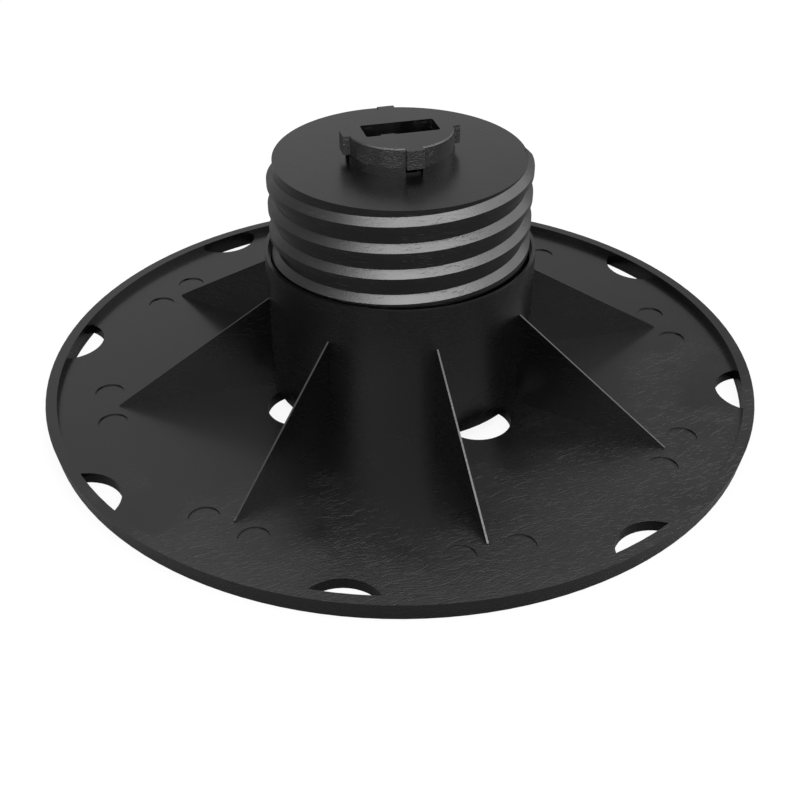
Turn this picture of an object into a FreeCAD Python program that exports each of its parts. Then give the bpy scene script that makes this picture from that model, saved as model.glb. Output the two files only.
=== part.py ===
import FreeCAD
import Part
import math
import os
import Sketcher

# Screw pedestal for raised decking: a round foot with a hub, and a threaded head that screws into it.
# The base stands on z = 0, and both mouldings share the upright Z axis.
# One rib lies on +X, and the slot in the boss runs along X. All sizes are in millimetres.

SIZES = [
    ("foot_radius", 100.0, "outer radius of the base where it stands"),
    ("rim_flare", 0.9, "how far the rim leans out at its top"),
    ("rim_height", 5.2, "height of the rim round the plate"),
    ("rim_width", 3.0, "width of the rim's top face"),
    ("plate_thickness", 3.05, "thickness of the plate and of the hub's floor"),
    ("hub_height", 43.0, "top of the hub above the ground"),
    ("hub_wall", 1.47, "wall of the hub along its bore"),
    ("lip_wall", 0.97, "wall of the hub at its lip"),
    ("lip_depth", 2.2, "depth of the wider mouth inside the lip"),
    ("rib_reach", 81.2, "distance of a rib's tip from the axis"),
    ("rib_height", 31.1, "height where a rib's top edge meets the hub"),
    ("rib_foot_width", 0.5, "thickness of a rib at the plate"),
    ("rib_top_width", 0.45, "thickness of a rib at the hub's side"),
    ("rib_tip_height", 0.3, "height left at a rib's tip"),
    ("rib_count", 8.0, "ribs round the hub"),
    ("rim_hole_radius", 10.6, "radius of the fixing holes at the rim"),
    ("rim_hole_offset", 3.6, "distance of their centres outside the rim's inner face"),
    ("drain_radius", 9.35, "radius of the drain holes at the hub's foot"),
    ("drain_inset", 2.35, "distance of their centres inside the hub's face"),
    ("drain_count", 4.0, "drain holes round the hub"),
    ("dimple_radius", 4.0, "radius of the shallow round marks on the plate"),
    ("dimple_depth", 0.35, "depth of these marks"),
    ("dimple_reach", 83.4, "distance of the marks from the axis"),
    ("dimple_side", 7.5, "distance of the marks from the middle of the rib"),
    ("root_radius", 33.57, "outside of the head's skirt between the threads"),
    ("thread_depth", 1.76, "height of the thread ridge above the skirt"),
    ("thread_pitch", 7.1, "rise of the thread in one turn"),
    ("thread_crest", 1.6, "width of the flat top of the ridge"),
    ("thread_slope", 0.15, "drop of the ridge's lower side from root to crest"),
    ("thread_turns", 4.0, "whole turns of the thread below its last part turn"),
    ("thread_end_angle", 351.5, "bearing where the ridge stops at the top"),
    ("thread_over_top", 0.2, "how far the ridge would rise past the disc at its end"),
    ("thread_clearance", 0.27, "gap between the ridge and the hub's bore"),
    ("skirt_wall", 2.2, "wall of the head's skirt"),
    ("skirt_length", 44.1, "length of the skirt down from the disc's top"),
    ("disc_top", 68.8, "height of the disc's top face"),
    ("disc_thickness", 3.0, "thickness of the disc"),
    ("ring_radius", 14.3, "outside of the ring at the boss's foot"),
    ("ring_height", 2.15, "height of this ring above the disc"),
    ("boss_radius", 14.05, "outside of the boss"),
    ("boss_height", 7.35, "height of the boss above the disc"),
    ("boss_wall", 2.2, "side wall of the boss"),
    ("boss_roof", 3.0, "roof of the boss, that the slot goes through"),
    ("boss_edge", 0.3, "bevel of the boss's top edge"),
    ("slot_length", 19.65, "length of the slot in the boss"),
    ("slot_width", 7.75, "width of the slot"),
    ("slot_corner", 0.7, "corner radius of the slot"),
    ("lug_reach", 15.6, "distance of a lug's outer face from the axis"),
    ("lug_width", 4.55, "width of a lug"),
    ("lug_gap", 2.4, "gap between the disc and a lug's underside"),
    ("lug_count", 4.0, "lugs round the boss"),
]

document = FreeCAD.newDocument("decking_pedestal")
sheet = document.addObject("Spreadsheet::Sheet", "sizes")
for row, (alias, value, meaning) in enumerate(SIZES, start=1):
    sheet.set(f"A{row}", meaning)
    sheet.set(f"B{row}", str(value))
    sheet.setAlias(f"B{row}", alias)
document.recompute()


def formula(text):
    """Put the sheet's name before each size that a formula mentions."""
    words = {alias for alias, value, meaning in SIZES}
    spaced = text.replace("(", "( ").replace(")", " )")
    return " ".join(f"sizes.{word}" if word in words else word for word in spaced.split())


BORE_RADIUS = "( root_radius + thread_depth + thread_clearance )"
HUB_RADIUS = f"( {BORE_RADIUS} + hub_wall )"
RIM_INNER = "( foot_radius + rim_flare - rim_width )"
SKIRT_INNER = "( root_radius - skirt_wall )"
SKIRT_BOTTOM = "( disc_top - skirt_length )"
DISC_UNDER = "( disc_top - disc_thickness )"
RING_TOP = "( disc_top + ring_height )"
BOSS_TOP = "( disc_top + boss_height )"
THREAD_RISE = "( thread_pitch * ( thread_turns + thread_end_angle / 360 ) )"
THREAD_START = f"( disc_top + thread_over_top - {THREAD_RISE} )"
PLATE_EDGE = f"( {RIM_INNER} + rim_width / 2 )"
HUB_SEAT = f"( {HUB_RADIUS} - hub_wall / 2 )"
BOSS_HOLLOW = "( boss_radius - boss_wall )"
SEAT_DEPTH = 0.4
CUT_MARGIN = 2.0


def origin_plane(body, role):
    """One of the body's own origin planes or axes."""
    return next(item for item in body.Origin.OriginFeatures if item.Role == role)


def new_sketch(body, name, role="XY_Plane", lift="0"):
    """A sketch on one of the body's planes, moved along that plane's normal by a formula."""
    sketch = body.newObject("Sketcher::SketchObject", name)
    sketch.AttachmentSupport = (origin_plane(body, role), [""])
    sketch.MapMode = "FlatFace"
    sketch.setExpression("AttachmentOffset.Base.z", formula(lift))
    return sketch


def hold(sketch, constraint, text):
    """Add a constraint and tie its value to a formula."""
    index = sketch.addConstraint(constraint)
    sketch.setExpression(f"Constraints[{index}]", formula(text))


def hold_point(sketch, edge, end, place):
    """Tie one end of an edge to a pair of formulas."""
    start = sketch.getPoint(edge, end)
    hold(sketch, Sketcher.Constraint("DistanceX", -1, 1, edge, end, start.x), place[0])
    hold(sketch, Sketcher.Constraint("DistanceY", -1, 1, edge, end, start.y), place[1])


def draw_outline(sketch, corners):
    """A closed outline with straight sides through corners that are pairs of formulas."""
    count = len(corners)
    turn = 2 * math.pi / count
    loop = [FreeCAD.Vector(math.cos(turn * i), math.sin(turn * i), 0) for i in range(count)]
    for i in range(count):
        sketch.addGeometry(Part.LineSegment(loop[i], loop[(i + 1) % count]))
    for i in range(count):
        sketch.addConstraint(Sketcher.Constraint("Coincident", i, 2, (i + 1) % count, 1))
    for i, corner in enumerate(corners):
        hold_point(sketch, i, 1, corner)


def draw_circle(sketch, centre, radius):
    """A circle held by formulas for its centre and its radius."""
    circle = Part.Circle(FreeCAD.Vector(1, 1, 0), FreeCAD.Vector(0, 0, 1), 1)
    index = sketch.addGeometry(circle)
    hold_point(sketch, index, 3, centre)
    hold(sketch, Sketcher.Constraint("Radius", index, 1), radius)


def draw_rounded_box(sketch, across, up, radius):
    """A rectangle round the sketch's origin, with corner arcs centred across and up from it."""
    quarter = math.pi / 2
    for i in range(4):
        turn = (i + 0.5) * quarter
        centre = FreeCAD.Vector(2 * math.cos(turn), 2 * math.sin(turn), 0)
        circle = Part.Circle(centre, FreeCAD.Vector(0, 0, 1), 1)
        sketch.addGeometry(Part.ArcOfCircle(circle, i * quarter, (i + 1) * quarter))
    for i in range(4):
        after = (i + 1) % 4
        line = Part.LineSegment(sketch.getPoint(i, 2), sketch.getPoint(after, 1))
        side = sketch.addGeometry(line)
        sketch.addConstraint(Sketcher.Constraint("Tangent", i, 2, side, 1))
        sketch.addConstraint(Sketcher.Constraint("Tangent", side, 2, after, 1))
    left, down = f"0 - {across}", f"0 - {up}"
    for i, centre in enumerate([(across, up), (left, up), (left, down), (across, down)]):
        hold_point(sketch, i, 3, centre)
        hold(sketch, Sketcher.Constraint("Radius", i, 1), radius)


def revolve(body, name, corners, kind="Revolution"):
    """Turn an outline in the X-Z plane about the Z axis, to add to the body or to cut a groove."""
    sketch = new_sketch(body, f"{name}_outline", "XZ_Plane")
    draw_outline(sketch, corners)
    feature = body.newObject(f"PartDesign::{kind}", name)
    feature.Profile = sketch
    feature.ReferenceAxis = (sketch, ["V_Axis"])
    feature.Angle = 360


def cut(body, name, sketch, depth):
    """Cut a sketch downwards by a depth that is a formula."""
    pocket = body.newObject("PartDesign::Pocket", name)
    pocket.Profile = sketch
    pocket.setExpression("Length", formula(depth))
    return pocket


def repeat(body, name, features, count):
    """Repeat features evenly round the Z axis."""
    pattern = body.newObject("PartDesign::PolarPattern", name)
    pattern.Originals = features
    pattern.Axis = (origin_plane(body, "Z_Axis"), [""])
    pattern.Angle = 360
    pattern.setExpression("Occurrences", formula(count))
    body.Tip = pattern


def make_base():
    """The foot plate with its ribs, holes, hub and rim, moulded in one."""
    body = document.addObject("PartDesign::Body", "base")
    body.Label = "base"
    revolve(body, "plate", [
        ("0", "0"),
        (PLATE_EDGE, "0"),
        (PLATE_EDGE, "plate_thickness"),
        ("0", "plate_thickness"),
    ])
    add_ribs(body)
    add_dimples(body)
    add_rim_holes(body)
    add_drain_holes(body)
    add_hub(body)
    add_rim(body)
    return body


def add_ribs(body):
    """Thin upright ribs that get thinner upwards and slope from the hub down to the plate."""
    foot = f"plate_thickness - {SEAT_DEPTH}"
    crest = f"rib_height + {CUT_MARGIN}"
    section = new_sketch(body, "rib_section", "YZ_Plane", HUB_SEAT)
    draw_outline(section, [
        ("0 - rib_foot_width / 2", foot),
        ("rib_foot_width / 2", foot),
        ("rib_top_width / 2", crest),
        ("0 - rib_top_width / 2", crest),
    ])
    rib = body.newObject("PartDesign::Pad", "rib")
    rib.Profile = section
    rib.setExpression("Length", formula(f"rib_reach - {HUB_SEAT}"))
    drop = f"( rib_height - plate_thickness - rib_tip_height ) / ( rib_reach - {HUB_RADIUS} )"
    beyond = f"{HUB_SEAT} - {CUT_MARGIN}"
    side = new_sketch(body, "rib_slope_outline", "XZ_Plane")
    draw_outline(side, [
        (beyond, f"rib_height + {drop} * ( {HUB_RADIUS} - ( {beyond} ) )"),
        ("rib_reach", "plate_thickness + rib_tip_height"),
        (f"rib_reach + {CUT_MARGIN}", "plate_thickness + rib_tip_height"),
        (f"rib_reach + {CUT_MARGIN}", f"{crest} + {CUT_MARGIN}"),
        (beyond, f"{crest} + {CUT_MARGIN}"),
    ])
    slope = body.newObject("PartDesign::Pocket", "rib_slope")
    slope.Profile = side
    slope.Midplane = True
    slope.setExpression("Length", formula(f"rib_foot_width + {CUT_MARGIN}"))
    repeat(body, "ribs", [rib, slope], "rib_count")


def add_dimples(body):
    """Shallow round marks, a pair beside each rib's tip."""
    sketch = new_sketch(body, "dimple_outline", "XY_Plane", "plate_thickness")
    for side in ("dimple_side", "0 - dimple_side"):
        draw_circle(sketch, ("dimple_reach", side), "dimple_radius")
    dimple = cut(body, "dimple", sketch, "dimple_depth")
    repeat(body, "dimples", [dimple], "rib_count")


def between_ribs(reach):
    """The point half way between two ribs at a distance from the axis, as a pair of formulas."""
    bearing = "( 180 / rib_count )"
    return f"{reach} * cos( {bearing} )", f"{reach} * sin( {bearing} )"


def add_rim_holes(body):
    """Round fixing holes half way between the ribs, which reach past the rim's inner face."""
    sketch = new_sketch(body, "rim_hole_outline", "XY_Plane", "plate_thickness")
    draw_circle(sketch, between_ribs(f"( {RIM_INNER} + rim_hole_offset )"), "rim_hole_radius")
    hole = cut(body, "rim_hole", sketch, "plate_thickness")
    repeat(body, "rim_holes", [hole], "rib_count")


def add_drain_holes(body):
    """Round holes through the plate under the hub's wall."""
    sketch = new_sketch(body, "drain_outline", "XY_Plane", "plate_thickness")
    draw_circle(sketch, between_ribs(f"( {HUB_RADIUS} - drain_inset )"), "drain_radius")
    drain = cut(body, "drain", sketch, "plate_thickness")
    repeat(body, "drains", [drain], "drain_count")


def add_hub(body):
    """The upright tube that the head goes into, with a thinner lip round a wider mouth."""
    mouth = f"{HUB_RADIUS} - lip_wall"
    revolve(body, "hub", [
        (BORE_RADIUS, "plate_thickness"),
        (HUB_RADIUS, "plate_thickness"),
        (HUB_RADIUS, "hub_height"),
        (mouth, "hub_height"),
        (mouth, "hub_height - lip_depth"),
        (BORE_RADIUS, "hub_height - lip_depth"),
    ])


def add_rim(body):
    """The raised rim, whole all the way round, so it closes off the fixing holes behind it."""
    revolve(body, "rim", [
        (RIM_INNER, "0"),
        ("foot_radius", "0"),
        ("foot_radius + rim_flare", "rim_height"),
        (RIM_INNER, "rim_height"),
    ])


def make_head():
    """The threaded head: skirt, disc, boss and thread, moulded in one."""
    body = document.addObject("PartDesign::Body", "threaded_head")
    body.Label = "threaded_head"
    revolve(body, "skirt_and_boss", [
        (SKIRT_INNER, SKIRT_BOTTOM),
        ("root_radius", SKIRT_BOTTOM),
        ("root_radius", "disc_top"),
        ("ring_radius", "disc_top"),
        ("ring_radius", RING_TOP),
        ("boss_radius", RING_TOP),
        ("boss_radius", f"{BOSS_TOP} - boss_edge"),
        ("boss_radius - boss_edge", BOSS_TOP),
        ("0", BOSS_TOP),
        ("0", f"{BOSS_TOP} - boss_roof"),
        (BOSS_HOLLOW, f"{BOSS_TOP} - boss_roof"),
        (BOSS_HOLLOW, DISC_UNDER),
        (SKIRT_INNER, DISC_UNDER),
    ])
    add_lugs(body)
    add_slot(body)
    add_thread(body)
    return body


def lug_sketch(body, name, inner, outer):
    """A lug's plan on the underside of the lugs, between two distances from the axis."""
    sketch = new_sketch(body, name, "XY_Plane", "disc_top + lug_gap")
    half = "lug_width / 2"
    draw_outline(sketch, [(inner, f"0 - {half}"), (outer, f"0 - {half}"), (outer, half), (inner, half)])
    return sketch


def add_lugs(body):
    """Snap lugs round the boss, each over a window that goes through the foot ring and the wall."""
    middle = "boss_radius - boss_wall / 2"
    plan = lug_sketch(body, "window_outline", f"{BOSS_HOLLOW} - {CUT_MARGIN}",
                      f"lug_reach + {CUT_MARGIN}")
    window = cut(body, "window", plan, "lug_gap")
    repeat(body, "windows", [window], "lug_count")
    lug = body.newObject("PartDesign::Pad", "lug")
    lug.Profile = lug_sketch(body, "lug_outline", middle, "lug_reach")
    lug.setExpression("Length", formula("boss_height - lug_gap"))
    repeat(body, "lugs", [lug], "lug_count")


def add_slot(body):
    """The slot for a key or a clip, through the boss's roof, with rounded corners."""
    sketch = new_sketch(body, "slot_outline", "XY_Plane", BOSS_TOP)
    across = "( slot_length / 2 - slot_corner )"
    up = "( slot_width / 2 - slot_corner )"
    draw_rounded_box(sketch, across, up, "slot_corner")
    cut(body, "slot", sketch, f"boss_roof + {CUT_MARGIN}")


def add_thread(body):
    """A ridge with a sloping upper side and a flat lower side, wound up the skirt."""
    inside = f"( root_radius - {SEAT_DEPTH} )"
    crest = "( root_radius + thread_depth )"
    sketch = new_sketch(body, "thread_outline", "XZ_Plane")
    foot = f"( {THREAD_START} - thread_depth - thread_crest )"
    draw_outline(sketch, [
        (inside, f"{foot} - thread_slope"), ("root_radius", f"{foot} - thread_slope"),
        (crest, foot), (crest, f"{foot} + thread_crest"),
        ("root_radius", THREAD_START), (inside, THREAD_START),
    ])
    ridge = body.newObject("PartDesign::AdditiveHelix", "thread_ridge")
    ridge.Profile = sketch
    ridge.ReferenceAxis = (sketch, ["V_Axis"])
    ridge.Mode = "pitch-height-angle"
    ridge.setExpression("Pitch", formula("thread_pitch"))
    ridge.setExpression("Height", formula(THREAD_RISE))
    document.recompute()
    revolve(body, "thread_trim", [
        ("root_radius", "disc_top"),
        (f"{crest} + {CUT_MARGIN}", "disc_top"),
        (f"{crest} + {CUT_MARGIN}", f"disc_top + {CUT_MARGIN}"),
        ("root_radius", f"disc_top + {CUT_MARGIN}"),
    ], kind="Groove")


def check_document():
    """Stop with a plain message if any object failed."""
    for item in document.Objects:
        if "Invalid" in item.State or "Error" in item.State:
            raise RuntimeError(f"{item.Name} failed: {item.State}")


def write_solids(bodies):
    """Check each sub-part and write it to its own file."""
    for body in bodies:
        shape = body.Shape
        if shape.isNull() or not shape.isValid():
            raise RuntimeError(f"{body.Label} has no valid shape")
    os.makedirs("parts", exist_ok=True)
    for body in bodies:
        body.Shape.exportStep(f"parts/{body.Label}.step")
        print(f"{body.Label}: volume {body.Shape.Volume:.1f} mm3, solids {len(body.Shape.Solids)}")


parts = [make_base(), make_head()]
document.recompute()
check_document()
write_solids(parts)
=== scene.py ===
import math

import bpy
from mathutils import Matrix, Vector

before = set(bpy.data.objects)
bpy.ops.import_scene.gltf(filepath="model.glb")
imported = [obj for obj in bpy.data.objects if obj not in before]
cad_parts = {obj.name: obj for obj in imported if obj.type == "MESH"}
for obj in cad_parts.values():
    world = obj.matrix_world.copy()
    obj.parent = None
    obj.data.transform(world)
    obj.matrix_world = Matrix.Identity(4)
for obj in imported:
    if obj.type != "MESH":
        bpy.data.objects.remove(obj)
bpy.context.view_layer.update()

# Camera, in metres and degrees. It stands at the photograph's viewing angle.
CAMERA_DISTANCE = 0.28623
CAMERA_HEIGHT = 0.19112
CAMERA_BEARING = 255.0
CAMERA_TARGET = Vector((0.0, 0.0, -0.009792))
CLIP_START = 0.01
LENS = 52.336
SENSOR = 36.0

# Light. Bearings and elevations are in degrees, seen from the object.
WHITE = (1.0, 1.0, 1.0, 1.0)
ROOM_GREY = 0.53
PLAIN_LEVEL = 0.75
SOFT_BOXES = {
    # name: bearing, elevation, half width, half height, soft edge, strength
    "front_box": (270.0, 56.0, 38.0, 19.0, 0.15, 5.8),
    "low_front_box": (236.0, 22.0, 54.0, 11.0, 0.1, 4.0),
    "left_card": (210.0, 40.0, 28.0, 28.0, 0.3, 0.6),
    "side_box": (355.0, 29.0, 32.0, 22.0, 0.22, 2.0),
    "dark_card": (67.0, 41.0, 15.0, 10.0, 0.15, -0.2),
    "ceiling_box": (322.0, 75.0, 40.0, 44.0, 0.25, 2.0),
    "back_card": (100.0, 38.0, 26.0, 20.0, 0.5, 0.2),
}
LEAST_REACH = 0.001  # keeps the slopes finite beside and behind a box
KEY_BEARING = 275.0
KEY_ELEVATION = 55.0
KEY_DISTANCE = 0.9
KEY_WIDTH = 0.9
KEY_POWER = 2.6

# Floor. The camera sees its glow and the shadow on its dark paint.
FLOOR_WIDTH = 6.0
FLOOR_DEPTH = 0.0001
FLOOR_GLOW = 0.87
FLOOR_PAINT_SEEN = 0.17
FLOOR_PAINT_IN_GLOSS = 0.3
FLOOR_PAINT_ELSEWHERE = 0.8

# Where the surface is: level where its normal stands up, round where it looks along the radius.
MILLIMETRES = 1000.0
WALL_RADIUS = 0.036
LEVEL_FROM = 0.8
ROUND_FROM = 0.5

# Marks, in millimetres and radians. They are grooves in the bump, and they are painted paler,
# partly as scuffs and partly as painted glints.
MARK_LAYERS = [
    # cell, turn added, spread, width, length, share
    (1.4, 0.0, 0.5, 0.24, 3.4, 0.4),
    (5.2, -0.2, 0.4, 0.3, 9.0, 0.35),
]
LAYER_SEED_STEP = 3.7
MARK_BOW = 0.12
MARK_FULL_SHARE = 0.4

# Patches of wear, which carry the marks and their painted glints. They gather at the front of the
# level faces, on the side of the key light.
PATCH_SCALE = 0.04
PATCH_START = 0.4
PATCH_END = 0.62
PATCH_SHIFT = 7.0
LEAST_WEAR = 0.12
WORN_AND_LIT_SIDE = (0.0008, -0.0049, 0.0)
LEVEL_LEAN = 0.22
WALL_LEAN = 0.06

# Streaks along the rubbing, grain, and cloudy dulling. The rubbed streaks are painted paler with
# the marks, partly as scuffs and partly as painted glints.
BEND_SCALE = 0.05
WALL_BEND = 3.0
LEVEL_BEND = 12.0
STREAK_STRETCH = (0.25, 2.0, 1.0)
RUBBED_START = 0.52
RUBBED_END = 0.74
RUBBED_SHARE = 0.6
GRAIN_SCALE = 1.7
GRAIN_SHARE = 0.5
LEAST_GRAIN = 0.15
CLOUD_SCALE = 0.06
CLOUD_DULLING = 0.12
WORN_DULLING = 0.05
MARK_DULLING = 0.1

# Plastic. The matt walls are the boss's, above a height and outside the slot. They are rougher, and
# painted lighter as painted light for what they reflect from the disc.
GLOSS_IOR = 1.5
MOULDED_BLACK = (0.002, 0.002, 0.0021, 1.0)
# Painted highlight: the share of the marks' paler paint on walls, against all of it on level faces.
WALL_GLINT_SHARE = 0.25
MATT_RISE = 1.0
MATT_RADIUS = 12.0
MATT_WEAR = 1.5
# Painted light: the share by which the matt walls are painted lighter.
MATT_PAINTED_LIGHT = 0.3
MATT_DULLING = 0.1

# A Mix node's two inputs and its output, by the kind of value that it mixes.
MIX_SOCKETS = {"FLOAT": (2, 3, 0), "VECTOR": (4, 5, 1), "RGBA": (6, 7, 2)}


class Tree:
    """Adds nodes to one node tree and joins them up."""

    def __init__(self, tree):
        self.nodes = tree.nodes
        self.links = tree.links

    def feed(self, made, inputs):
        """Give a node its inputs, which are sockets or plain values."""
        for name, value in inputs.items():
            if isinstance(value, bpy.types.NodeSocket):
                self.links.new(value, made.inputs[name])
            else:
                made.inputs[name].default_value = value
        return made

    def node(self, kind, inputs, **settings):
        """A node with its settings and inputs."""
        made = self.nodes.new(kind)
        for setting, value in settings.items():
            setattr(made, setting, value)
        return self.feed(made, inputs)

    def group(self, tree, inputs, name=""):
        """The outputs of a placed node group with its own values."""
        made = self.nodes.new("ShaderNodeGroup")
        made.node_tree = tree
        made.label = name
        return self.feed(made, inputs).outputs

    def math(self, operation, *values):
        """A Math node's value."""
        made = self.node("ShaderNodeMath", dict(enumerate(values)), operation=operation)
        return made.outputs[0]

    def times(self, value, *others):
        """The product of all the values."""
        for other in others:
            value = self.math("MULTIPLY", value, other)
        return value

    def plus(self, value, *others):
        """The sum of all the values."""
        for other in others:
            value = self.math("ADD", value, other)
        return value

    def minus(self, value, other):
        """The first value less the second."""
        return self.math("SUBTRACT", value, other)

    def size(self, value):
        """A value without its sign."""
        return self.math("ABSOLUTE", value)

    def centred(self, value):
        """A value from 0 to 1, moved to lie about 0."""
        return self.minus(value, 0.5)

    def vector(self, operation, *values, output="Vector"):
        """A Vector Math node's vector."""
        made = self.node("ShaderNodeVectorMath", dict(enumerate(values)), operation=operation)
        return made.outputs[output]

    def measure(self, operation, *values):
        """A Vector Math node's number."""
        return self.vector(operation, *values, output="Value")

    def turned(self, place, angle):
        """A place turned about the third axis."""
        made = self.node(
            "ShaderNodeVectorRotate", {"Vector": place, "Angle": angle}, rotation_type="Z_AXIS")
        return made.outputs[0]

    def split(self, value):
        """The three parts of a vector."""
        return self.node("ShaderNodeSeparateXYZ", {0: value}).outputs

    def join(self, x, y, z=0.0):
        """A vector from its parts."""
        return self.node("ShaderNodeCombineXYZ", {0: x, 1: y, 2: z}).outputs[0]

    def fade(self, value, start, end, low=0.0, high=1.0):
        """Low up to start, high from end on, and smooth between them."""
        inputs = {"Value": value, "From Min": start, "From Max": end, "To Min": low, "To Max": high}
        made = self.node("ShaderNodeMapRange", inputs, interpolation_type="SMOOTHSTEP")
        return made.outputs["Result"]

    def fall(self, value, start, end):
        """1 up to start, 0 from end on, and smooth between them."""
        return self.fade(value, start, end, 1.0, 0.0)

    def noise(self, place, scale, detail=2.0, roughness=0.5):
        """A noise value about 0.5."""
        inputs = {"Vector": place, "Scale": scale, "Detail": detail, "Roughness": roughness}
        return self.node("ShaderNodeTexNoise", inputs, noise_dimensions="3D").outputs["Fac"]

    def pick(self, mask, low, high, kind="FLOAT"):
        """Low where the mask is 0, and high where it is 1."""
        first, second, result = MIX_SOCKETS[kind]
        made = self.node("ShaderNodeMix", {0: mask, first: low, second: high}, data_type=kind)
        return made.outputs[result]

    def seen_directly(self):
        """The Light Path outputs, and 1 for the camera's rays, also through clear things."""
        path = self.node("ShaderNodeLightPath", {}).outputs
        return path, self.math("MAXIMUM", path["Is Camera Ray"], path["Is Transmission Ray"])


def new_group(name, inputs, outputs):
    """An empty shader group, with its tree, its inputs and its end node."""
    group = bpy.data.node_groups.new(name, "ShaderNodeTree")
    for sockets, in_out in ((inputs, "INPUT"), (outputs, "OUTPUT")):
        for socket in sockets:
            kind = "Vector" if socket in ("Place", "Direction", "Aim") else "Float"
            group.interface.new_socket(socket, in_out=in_out, socket_type=f"NodeSocket{kind}")
    given = group.nodes.new("NodeGroupInput").outputs
    return group, Tree(group), given, group.nodes.new("NodeGroupOutput")


def make_soft_box_group():
    """How brightly a soft box shines in a direction."""
    group, tree, given, end = new_group(
        "soft_box",
        ["Direction", "Aim", "Half Width", "Half Height", "Soft Edge", "Strength"],
        ["Strength"])
    turned = tree.node(
        "ShaderNodeVectorRotate", {"Vector": given["Direction"], "Rotation": given["Aim"]},
        rotation_type="EULER_XYZ", invert=True)
    ahead, left, up = tree.split(turned.outputs[0])
    reach = tree.math("MAXIMUM", ahead, LEAST_REACH)
    masks = []
    for offset, half in ((left, given["Half Width"]), (up, given["Half Height"])):
        slope = tree.size(tree.math("DIVIDE", offset, reach))
        inner = tree.minus(half, given["Soft Edge"])
        outer = tree.plus(half, given["Soft Edge"])
        masks.append(tree.fall(slope, inner, outer))
    front = tree.math("GREATER_THAN", ahead, 0.0)
    tree.feed(end, {"Strength": tree.times(*masks, front, given["Strength"])})
    return group


def make_surface_map_group():
    """Places in millimetres laid flat on the surface: level faces, round walls and ribs."""
    group, tree, _, end = new_group("surface_map", [], ["Place", "Level", "Radius"])
    point = tree.node("ShaderNodeTexCoord", {}).outputs["Object"]
    facing = tree.node("ShaderNodeNewGeometry", {}).outputs["Normal"]
    x, y, z = tree.split(point)
    flat = tree.join(x, y)
    outward = tree.vector("NORMALIZE", flat)
    radius = tree.measure("LENGTH", flat)
    around = tree.times(tree.math("ARCTAN2", y, x), WALL_RADIUS)
    level = tree.math("GREATER_THAN", tree.size(tree.split(facing)[2]), LEVEL_FROM)
    outwardness = tree.size(tree.measure("DOT_PRODUCT", facing, outward))
    round_wall = tree.math("GREATER_THAN", outwardness, ROUND_FROM)
    upright = tree.pick(round_wall, tree.join(radius, z), tree.join(around, z), "VECTOR")
    place = tree.pick(level, upright, flat, "VECTOR")
    tree.feed(end, {
        "Place": tree.vector("MULTIPLY", place, (MILLIMETRES,) * 3),
        "Level": level,
        "Radius": tree.times(radius, MILLIMETRES),
    })
    return group


def make_marks_group():
    """Short thin lines, one to a cell, each with its own turn and bow."""
    group, tree, given, end = new_group(
        "marks",
        ["Place", "Cell", "Seed", "Turn", "Spread", "Width", "Length", "Share"],
        ["Mask"])
    cell = tree.join(given["Cell"], given["Cell"], 1.0)
    seed = tree.join(given["Seed"], given["Seed"])
    shifted = tree.vector("ADD", tree.vector("DIVIDE", given["Place"], cell), seed)
    cells = tree.node(
        "ShaderNodeTexVoronoi", {"Vector": shifted, "Scale": 1.0}, voronoi_dimensions="2D")
    middle = cells.outputs["Position"]
    local = tree.vector("MULTIPLY", tree.vector("SUBTRACT", shifted, middle), cell)
    chances = tree.node("ShaderNodeSeparateColor", {0: cells.outputs["Color"]})
    chance_turn, chance_bow, chance_keep = chances.outputs[:3]
    swing = tree.times(tree.centred(chance_turn), given["Spread"])
    along, across, _ = tree.split(tree.turned(local, tree.plus(swing, given["Turn"])))
    bow = tree.times(along, along, tree.centred(chance_bow), MARK_BOW)
    across = tree.size(tree.plus(across, bow))
    along = tree.size(along)
    half_length = tree.times(given["Length"], 0.5)
    half_width = tree.times(given["Width"], 0.5)
    ends = tree.fall(along, tree.times(half_length, MARK_FULL_SHARE), half_length)
    line = tree.fall(across, 0.0, half_width)
    keep = tree.math("LESS_THAN", chance_keep, given["Share"])
    tree.feed(end, {"Mask": tree.times(ends, line, keep)})
    return group


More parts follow.
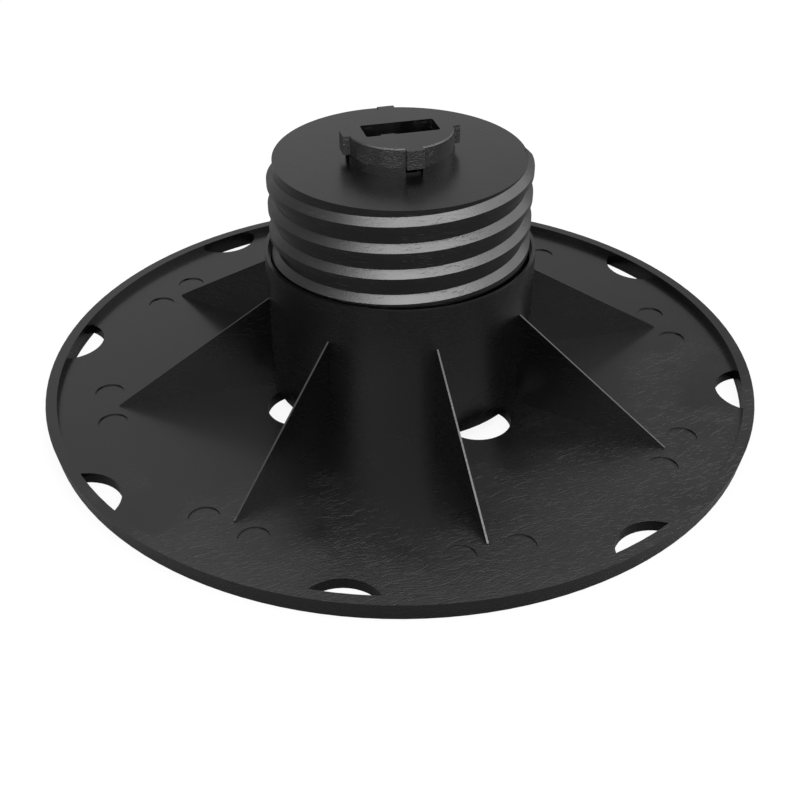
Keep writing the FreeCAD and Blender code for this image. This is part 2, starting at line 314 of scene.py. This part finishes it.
def make_worn_skin_group(marks_group):
    """The skin of a handled moulding: streaky grain, and fine marks that come in patches. The marks
    are grooves in the bump, and their output is painted paler, partly as scuffs and partly as
    painted glints.
    """
    group, tree, given, end = new_group(
        "worn_skin",
        ["Place", "Level", "Seed", "Level Turn", "Level Wear", "Wall Wear", "Mark Depth",
         "Grain Depth"],
        ["Height", "Marks And Painted Glints", "Dulling"])
    place, level = given["Place"], given["Level"]
    turn = tree.times(level, given["Level Turn"])
    shifted = tree.vector("ADD", place, tree.join(given["Seed"], PATCH_SHIFT))

    # Lean the patches toward the front, where the key light falls and the painted glints show.
    worn_and_lit_side = tree.measure("DOT_PRODUCT", place, WORN_AND_LIT_SIDE)
    lean = tree.pick(level, WALL_LEAN, tree.minus(worn_and_lit_side, LEVEL_LEAN))
    cover = tree.plus(tree.noise(shifted, PATCH_SCALE), lean)
    patch = tree.fade(cover, PATCH_START, PATCH_END, LEAST_WEAR, 1.0)
    worn = tree.times(patch, tree.pick(level, given["Wall Wear"], given["Level Wear"]))

    lines = 0.0
    for number, (cell, added, spread, width, length, share) in enumerate(MARK_LAYERS):
        mask = tree.group(marks_group, {
            "Place": place, "Cell": cell, "Spread": spread, "Width": width, "Length": length,
            "Share": share, "Turn": tree.plus(turn, added),
            "Seed": tree.plus(given["Seed"], LAYER_SEED_STEP * number),
        })["Mask"]
        lines = tree.math("MAXIMUM", lines, mask)

    wander = tree.centred(tree.noise(shifted, BEND_SCALE, detail=1.0))
    bend = tree.times(wander, tree.pick(level, WALL_BEND, LEVEL_BEND))
    bent = tree.vector("ADD", tree.turned(place, turn), tree.join(0.0, bend))
    stretched = tree.vector("MULTIPLY", bent, STREAK_STRETCH)
    streaks = tree.noise(stretched, 1.0, detail=3.0, roughness=0.6)
    # The rubbed streaks join the marks, so they are painted paler too: partly scuffs, partly
    # painted glints.
    scuffs_and_painted_light = tree.times(tree.fade(streaks, RUBBED_START, RUBBED_END), RUBBED_SHARE)
    marks = tree.times(tree.math("MAXIMUM", lines, scuffs_and_painted_light), worn)

    cloud = tree.centred(tree.noise(shifted, CLOUD_SCALE, detail=3.0, roughness=0.55))
    dulling = tree.plus(
        tree.times(cloud, CLOUD_DULLING), tree.times(worn, WORN_DULLING),
        tree.times(marks, MARK_DULLING))

    grain = tree.centred(tree.noise(place, GRAIN_SCALE, roughness=0.6))
    fine = tree.plus(tree.centred(streaks), tree.times(grain, GRAIN_SHARE))
    depth = tree.times(given["Grain Depth"], tree.plus(worn, LEAST_GRAIN))
    height = tree.minus(tree.times(fine, depth), tree.times(marks, given["Mark Depth"]))

    tree.feed(end, {"Height": height, "Marks And Painted Glints": marks, "Dulling": dulling})
    return group


def make_plastic(name, surface_map, worn_skin, scuff_and_painted_light_grey, dullness, matt_height, skin):
    """Black moulded plastic with a low gloss, streaky grain and rubbed marks. The marks are painted
    paler, partly as scuffs and partly as painted glints, fullest on level faces, and the matt boss
    walls are painted lighter as painted light.
    """
    material = bpy.data.materials.new(name)
    material.use_nodes = True
    tree = Tree(material.node_tree)
    shader = tree.nodes["Principled BSDF"]
    surface = tree.group(surface_map, {})
    place, level = surface["Place"], surface["Level"]

    raised = tree.fade(tree.split(place)[1], matt_height, matt_height + MATT_RISE)
    outside = tree.math("GREATER_THAN", surface["Radius"], MATT_RADIUS)
    matt = tree.times(raised, tree.minus(1.0, level), outside)
    wall_wear = tree.math("MULTIPLY_ADD", matt, MATT_WEAR, skin["Wall Wear"])
    worn = tree.group(worn_skin, {"Place": place, "Level": level, **skin, "Wall Wear": wall_wear})

    # Painted highlight: the marks lighten the colour fully on level faces and matt walls, where
    # they catch the light, and only in part on other walls.
    painted_light_share = tree.math("MAXIMUM", tree.math("MAXIMUM", level, matt), WALL_GLINT_SHARE)
    scuffs_and_painted_light = tree.math("MULTIPLY_ADD", worn["Marks And Painted Glints"], painted_light_share, tree.times(matt, MATT_PAINTED_LIGHT))
    rough = tree.plus(dullness, worn["Dulling"], tree.times(matt, MATT_DULLING))
    bump = tree.node("ShaderNodeBump", {"Height": worn["Height"], "Distance": 1.0, "Strength": 1.0})
    tree.feed(shader, {
        # Base colour: a paler grey for scuffs with painted glints, and painted light on the matt
        # boss walls.
        "Base Color": tree.pick(scuffs_and_painted_light, MOULDED_BLACK, scuff_and_painted_light_grey, "RGBA"),
        "Roughness": rough,
        "IOR": GLOSS_IOR,
        "Normal": bump.outputs[0],
    })
    return material


def place_in_round(bearing, elevation, distance):
    """A place at a bearing and an elevation from the origin."""
    around, up = math.radians(bearing), math.radians(elevation)
    flat = distance * math.cos(up)
    return Vector((flat * math.cos(around), flat * math.sin(around), distance * math.sin(up)))


def aim_at(thing, place, target):
    """Stand a camera or lamp at a place and point it at a target."""
    thing.location = place
    thing.rotation_euler = (target - place).to_track_quat("-Z", "Y").to_euler()
    bpy.context.scene.collection.objects.link(thing)


def place_camera():
    """The camera looks down at the axis from the front."""
    data = bpy.data.cameras.new("camera")
    data.lens = LENS
    data.sensor_width = SENSOR
    data.clip_start = CLIP_START
    camera = bpy.data.objects.new("camera", data)
    place = place_in_round(CAMERA_BEARING, 0.0, CAMERA_DISTANCE)
    place.z = CAMERA_HEIGHT
    aim_at(camera, place, CAMERA_TARGET)
    bpy.context.scene.camera = camera


def place_key_light():
    """A soft round lamp over the front, that gives the floor its shadow."""
    data = bpy.data.lights.new("key", "AREA")
    data.shape = "DISK"
    data.size = KEY_WIDTH
    data.energy = KEY_POWER
    lamp = bpy.data.objects.new("key", data)
    aim_at(lamp, place_in_round(KEY_BEARING, KEY_ELEVATION, KEY_DISTANCE), Vector())


def make_world(soft_box):
    """A white room for the camera, with soft boxes for gloss and an even level for the rest."""
    world = bpy.data.worlds.new("room")
    bpy.context.scene.world = world
    world.use_nodes = True
    tree = Tree(world.node_tree)
    tree.nodes.clear()
    direction = tree.node("ShaderNodeTexCoord", {}).outputs["Generated"]
    gloss = ROOM_GREY
    for name, (bearing, elevation, width, height, soft_edge, strength) in SOFT_BOXES.items():
        box = tree.group(soft_box, {
            "Direction": direction,
            "Aim": (0.0, -math.radians(elevation), math.radians(bearing)),
            "Half Width": math.tan(math.radians(width)),
            "Half Height": math.tan(math.radians(height)),
            "Soft Edge": soft_edge,
            "Strength": strength,
        }, name)
        gloss = tree.plus(gloss, box["Strength"])
    path, direct = tree.seen_directly()
    level = tree.pick(path["Is Glossy Ray"], PLAIN_LEVEL, gloss)
    strength = tree.pick(direct, level, 1.0)
    sky = tree.node("ShaderNodeBackground", {"Color": WHITE, "Strength": strength})
    tree.node("ShaderNodeOutputWorld", {"Surface": sky.outputs[0]})


def make_floor():
    """A white floor that keeps a faint shadow of the object."""
    bpy.ops.mesh.primitive_plane_add(size=FLOOR_WIDTH, location=(0, 0, -FLOOR_DEPTH))
    floor = bpy.context.object
    floor.name = "floor"
    material = bpy.data.materials.new("floor_white")
    material.use_nodes = True
    tree = Tree(material.node_tree)
    tree.nodes.clear()
    path, direct = tree.seen_directly()
    glow = tree.times(direct, FLOOR_GLOW)
    unseen = tree.pick(path["Is Glossy Ray"], FLOOR_PAINT_ELSEWHERE, FLOOR_PAINT_IN_GLOSS)
    paint = tree.pick(direct, unseen, FLOOR_PAINT_SEEN)
    matt = tree.node("ShaderNodeBsdfDiffuse", {"Color": paint})
    light = tree.node("ShaderNodeEmission", {"Color": WHITE, "Strength": glow})
    both = tree.node("ShaderNodeAddShader", {0: matt.outputs[0], 1: light.outputs[0]})
    tree.node("ShaderNodeOutputMaterial", {"Surface": both.outputs[0]})
    floor.data.materials.append(material)


def dress(node, material):
    """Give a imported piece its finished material."""
    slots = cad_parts[node].data.materials
    slots.clear()
    slots.append(material)


bpy.context.scene.view_settings.view_transform = "Standard"
place_camera()
place_key_light()
make_world(make_soft_box_group())
make_floor()
surface_map = make_surface_map_group()
worn_skin = make_worn_skin_group(make_marks_group())
# Each part's paler grey paints its scuffs and painted glints; on the head it also paints light on
# the matt boss walls.
dress("base", make_plastic(
    "base_plastic", surface_map, worn_skin,
    scuff_and_painted_light_grey=(0.0075, 0.0075, 0.0078, 1.0), dullness=0.24, matt_height=100.0,
    skin={"Seed": 1.0, "Level Turn": -0.1, "Level Wear": 1.0, "Wall Wear": 0.6,
          "Mark Depth": 0.000025, "Grain Depth": 0.00006}))
dress("threaded_head", make_plastic(
    "head_plastic", surface_map, worn_skin,
    scuff_and_painted_light_grey=(0.016, 0.016, 0.0165, 1.0), dullness=0.27, matt_height=70.5,
    skin={"Seed": 21.0, "Level Turn": 0.3, "Level Wear": 0.12, "Wall Wear": 1.0,
          "Mark Depth": 0.00002, "Grain Depth": 0.00008}))
